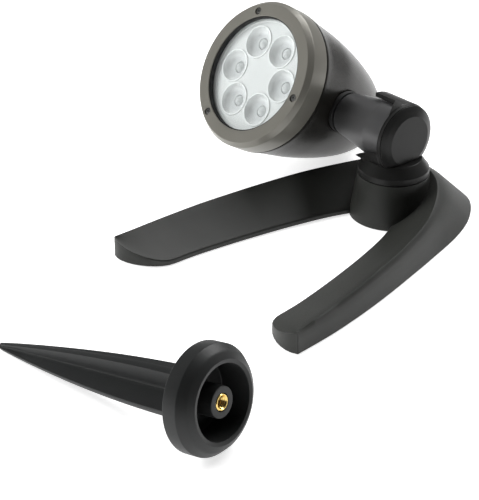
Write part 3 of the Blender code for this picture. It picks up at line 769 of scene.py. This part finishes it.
KEPT = {
    "rubber": ("base_pad", "swivel_friction_ring", "tilt_friction_disc", "bezel_o_ring"),
    "steel": ("swivel_bolt", "swivel_spring_washer", "swivel_washer", "tilt_washer", "tilt_bolt",
              "arm_lock_nut", "driver_choke"),
    "brass": ("swivel_nut", "tilt_insert", "driver_post_1", "driver_post_2"),
    "board": ("led_board", "driver_board"),
    "cast": ("heat_sink",),
    "resin": ("driver_capacitor", "driver_transformer"),
    "gland": ("gland_nut",),
    "phosphor": tuple(f"led_chip_{index + 1}" for index in range(len(LENS_ANGLES))),
}


def dress_kept_parts(materials):
    for key, names in KEPT.items():
        for name in names:
            node = frame["nodes"][name]
            node.data.materials.clear()
            node.data.materials.append(materials[key])


# ---- Studio


def build_floor():
    bm = bmesh.new()
    bmesh.ops.create_grid(bm, x_segments=1, y_segments=1, size=3.0)
    mesh = bpy.data.meshes.new("floor")
    bm.to_mesh(mesh)
    bm.free()
    floor = bpy.data.objects.new("floor", mesh)
    bpy.context.scene.collection.objects.link(floor)
    material = bpy.data.materials.new("pale_floor")
    material.use_nodes = True
    shader = material.node_tree.nodes["Principled BSDF"]
    shader.inputs["Base Color"].default_value = (0.9, 0.9, 0.9, 1.0)
    shader.inputs["Roughness"].default_value = 0.9
    shader.inputs["Specular IOR Level"].default_value = 0.1
    shader.inputs["Emission Color"].default_value = (1.0, 1.0, 1.0, 1.0)
    shader.inputs["Emission Strength"].default_value = FLOOR_GLOW
    mesh.materials.append(material)


def add_light(name, place, target, size, power, glossy=False):
    """A soft box. One that isn't glossy lights the paint but isn't mirrored in it."""
    data = bpy.data.lights.new(name, "AREA")
    data.shape = "RECTANGLE"
    data.size, data.size_y = size
    data.energy = power
    light = bpy.data.objects.new(name, data)
    bpy.context.scene.collection.objects.link(light)
    light.location = place
    light.rotation_euler = (Vector(target) - Vector(place)).to_track_quat("-Z", "Y").to_euler()
    light.visible_glossy = glossy


def build_world():
    """A room that is bright behind the object and dim on the camera's side."""
    world = bpy.data.worlds.new("studio")
    world.use_nodes = True
    tree = world.node_tree
    place = tree.nodes.new("ShaderNodeTexCoord")
    facing = tree.nodes.new("ShaderNodeVectorMath")
    facing.operation = "DOT_PRODUCT"
    facing.inputs[1].default_value = direction(CAMERA_LOOK)
    tree.links.new(place.outputs["Generated"], facing.inputs[0])
    span = tree.nodes.new("ShaderNodeMapRange")
    span.inputs["From Min"].default_value = -1.0
    tree.links.new(facing.outputs["Value"], span.inputs["Value"])
    shades = [(position, (grey, grey, grey)) for position, grey in WORLD_SHADES]
    tone = ramp(tree, span.outputs["Result"], shades)
    background = tree.nodes["Background"]
    tree.links.new(tone.outputs["Color"], background.inputs["Color"])
    background.inputs["Strength"].default_value = WORLD_STRENGTH
    bpy.context.scene.world = world


def build_studio():
    build_world()
    add_light("left_box", (-1.15, -1.0, 0.95), (-0.08, -0.03, 0.07), (1.1, 1.0), 28.0)
    add_light("back_box", (-0.1, 0.95, 1.1), (-0.02, -0.05, 0.02), (1.2, 0.7), 20.0, glossy=True)
    bpy.context.scene.view_settings.view_transform = "Standard"


def direction(angles):
    azimuth, elevation = angles
    return Vector((math.sin(azimuth) * math.cos(elevation), -math.cos(azimuth) * math.cos(elevation),
                   math.sin(elevation)))


def build_camera():
    data = bpy.data.cameras.new("camera")
    data.lens = CAMERA_LENS
    data.sensor_width = 36.0
    data.sensor_fit = "AUTO"
    camera = bpy.data.objects.new("camera", data)
    bpy.context.scene.collection.objects.link(camera)
    camera.location = direction(CAMERA_PLACE) * CAMERA_DISTANCE
    camera.rotation_euler = (-direction(CAMERA_LOOK)).to_track_quat("-Z", "Y").to_euler()
    bpy.context.scene.camera = camera


def main():
    frames = find_frames()
    materials = make_materials()
    build_stand(frames, materials)
    build_yoke(frames, materials)
    build_cap(frames, materials)
    build_arm(frames, materials)
    build_housing(frames, materials)
    build_bezel(frames, materials)
    build_optics(frames, materials)
    build_gland(frames, materials)
    build_stake(frames, materials)
    build_insert(frames, materials)
    dress_kept_parts(materials)
    build_floor()
    build_studio()
    build_camera()


main()
